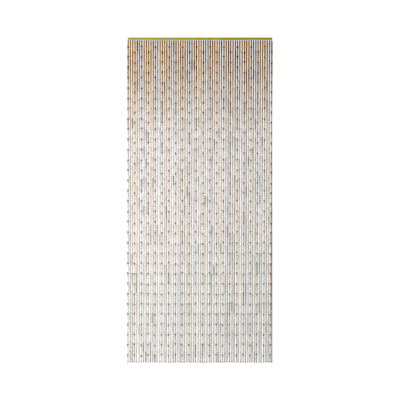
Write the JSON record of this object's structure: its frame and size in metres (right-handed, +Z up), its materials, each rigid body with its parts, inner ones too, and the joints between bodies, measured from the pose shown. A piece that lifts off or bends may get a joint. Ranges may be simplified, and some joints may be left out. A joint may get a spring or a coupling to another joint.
{
  "type": "bamboo door curtain on a rail",
  "caption": "Strung door curtain: a slim wooden rail with close-set threads of bamboo tubes, and dark wooden beads between the tubes of evenly spaced strands.",
  "frame": {"origin": "centre of the rail's top face, where it meets the lintel", "axes": "+Z up, +X along the rail, -Y towards the viewer in the picture"},
  "size_m": [0.9097, 0.024, 2.024],
  "materials": {
    "rail_wood": "olive green varnish",
    "bamboo": "natural, slightly glossy"
  },
  "bodies": {
    "root": {"rail": "rail_wood", "strands_left": "bamboo", "strands_right": "bamboo"}
  },
  "joints": []
}
